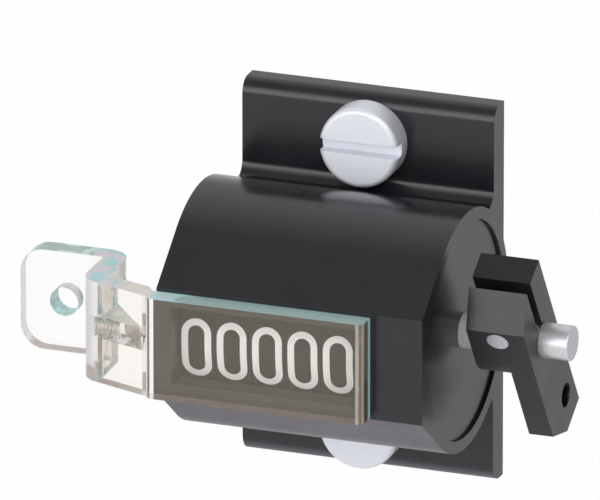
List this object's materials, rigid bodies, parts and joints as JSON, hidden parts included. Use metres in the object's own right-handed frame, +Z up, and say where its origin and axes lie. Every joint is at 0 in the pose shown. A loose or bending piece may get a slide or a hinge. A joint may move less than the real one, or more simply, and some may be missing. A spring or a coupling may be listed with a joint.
{
  "type": "operation counter",
  "caption": "Ratchet operation counter with number wheels in a black cast barrel, a clamped drive lever and a clear bracket over the window.",
  "frame": {"origin": "midpoint of the two fixing screws on the back plane of the flange", "axes": "+X along the drive shaft, towards the lever; +Y into the panel behind the flange; +Z up; the window faces -Y"},
  "size_m": [0.0472, 0.0273, 0.0332],
  "materials": {
    "black_casting": "satin black",
    "screw_steel": "smooth, bright",
    "clear_acrylic": "polished clear plastic",
    "shaft_steel": "ground",
    "lever_black": "satin black",
    "bronze": "sintered",
    "spring_steel": "bright wire",
    "zinc_steel": "zinc plated",
    "hard_steel": "hardened, dark",
    "wheel_plastic": "black",
    "pinion_plastic": "natural white"
  },
  "bodies": {
    "frame": {"housing": "black_casting", "mounting_screws": "screw_steel", "clear_bracket": "clear_acrylic", "bearing_cap": "black_casting", "tail_cap": "black_casting", "shaft_bush": "bronze", "thrust_washer": "bronze", "stop_pins": "hard_steel", "holding_pin": "hard_steel", "wheel_axle": "shaft_steel", "carrier_plate_1": "zinc_steel", "carrier_plate_2": "zinc_steel", "carrier_plate_3": "zinc_steel", "carrier_plate_4": "zinc_steel", "return_spring": "spring_steel", "holding_pawl_spring": "spring_steel"},
    "drive": {"drive_shaft": "shaft_steel", "lever": "lever_black", "clamp_screw": "shaft_steel", "pawl_arm": "zinc_steel", "pawl_pin": "hard_steel", "drive_pawl_spring": "spring_steel"},
    "drive_pawl_body": {"drive_pawl": "hard_steel"},
    "holding_pawl_body": {"holding_pawl": "hard_steel"},
    "units": {"units_wheel": "wheel_plastic", "ratchet_wheel": "hard_steel"},
    "tens": {"tens_wheel": "wheel_plastic"},
    "hundreds": {"hundreds_wheel": "wheel_plastic"},
    "thousands": {"thousands_wheel": "wheel_plastic"},
    "ten_thousands": {"ten_thousands_wheel": "wheel_plastic"},
    "transfer_1": {"transfer_pinion_1": "pinion_plastic"},
    "transfer_2": {"transfer_pinion_2": "pinion_plastic"},
    "transfer_3": {"transfer_pinion_3": "pinion_plastic"},
    "transfer_4": {"transfer_pinion_4": "pinion_plastic"}
  },
  "joints": [
    {"name": "lever_swing", "type": "hinge", "parent": "frame", "child": "drive", "pos_m": [0.01115, -0.00915, -0.00072], "axis": [1, 0, 0], "range_deg": [-50, 0], "stiffness_Nm_per_rad": 0.002, "springref_deg": 20.05, "deforming": ["return_spring"]},
    {"name": "drive_pawl_swing", "type": "hinge", "parent": "drive", "child": "drive_pawl_body", "pos_m": [0.00625, -0.00915, 0.00648], "axis": [1, 0, 0], "range_deg": [0, 8], "stiffness_Nm_per_rad": 0.0001, "springref_deg": -11.46, "deforming": ["drive_pawl_spring"]},
    {"name": "holding_pawl_swing", "type": "hinge", "parent": "frame", "child": "holding_pawl_body", "pos_m": [0.00625, -0.01161, -0.00749], "axis": [1, 0, 0], "range_deg": [0, 8], "stiffness_Nm_per_rad": 0.0001, "springref_deg": -11.46, "deforming": ["holding_pawl_spring"]},
    {"name": "units_spin", "type": "hinge", "parent": "frame", "child": "units", "pos_m": [0.00344, -0.00915, -0.00072], "axis": [1, 0, 0], "continuous": true},
    {"name": "tens_spin", "type": "hinge", "parent": "frame", "child": "tens", "pos_m": [0.00032, -0.00915, -0.00072], "axis": [1, 0, 0], "continuous": true},
    {"name": "hundreds_spin", "type": "hinge", "parent": "frame", "child": "hundreds", "pos_m": [-0.0028, -0.00915, -0.00072], "axis": [1, 0, 0], "continuous": true},
    {"name": "thousands_spin", "type": "hinge", "parent": "frame", "child": "thousands", "pos_m": [-0.00592, -0.00915, -0.00072], "axis": [1, 0, 0], "continuous": true},
    {"name": "ten_thousands_spin", "type": "hinge", "parent": "frame", "child": "ten_thousands", "pos_m": [-0.00904, -0.00915, -0.00072], "axis": [1, 0, 0], "continuous": true},
    {"name": "transfer_1_spin", "type": "hinge", "parent": "frame", "child": "transfer_1", "pos_m": [0.00188, -0.0039, -0.00072], "axis": [1, 0, 0], "continuous": true},
    {"name": "transfer_2_spin", "type": "hinge", "parent": "frame", "child": "transfer_2", "pos_m": [-0.00124, -0.0039, -0.00072], "axis": [1, 0, 0], "continuous": true},
    {"name": "transfer_3_spin", "type": "hinge", "parent": "frame", "child": "transfer_3", "pos_m": [-0.00436, -0.0039, -0.00072], "axis": [1, 0, 0], "continuous": true},
    {"name": "transfer_4_spin", "type": "hinge", "parent": "frame", "child": "transfer_4", "pos_m": [-0.00748, -0.0039, -0.00072], "axis": [1, 0, 0], "continuous": true}
  ],
  "couplings": [
    {"joint": "tens_spin", "follows": "units_spin", "ratio": 0.1},
    {"joint": "hundreds_spin", "follows": "units_spin", "ratio": 0.01},
    {"joint": "thousands_spin", "follows": "units_spin", "ratio": 0.001},
    {"joint": "ten_thousands_spin", "follows": "units_spin", "ratio": 0.0001},
    {"joint": "transfer_1_spin", "follows": "units_spin", "ratio": 0.33333},
    {"joint": "transfer_2_spin", "follows": "units_spin", "ratio": 0.033333},
    {"joint": "transfer_3_spin", "follows": "units_spin", "ratio": 0.0033333},
    {"joint": "transfer_4_spin", "follows": "units_spin", "ratio": 0.00033333}
  ]
}
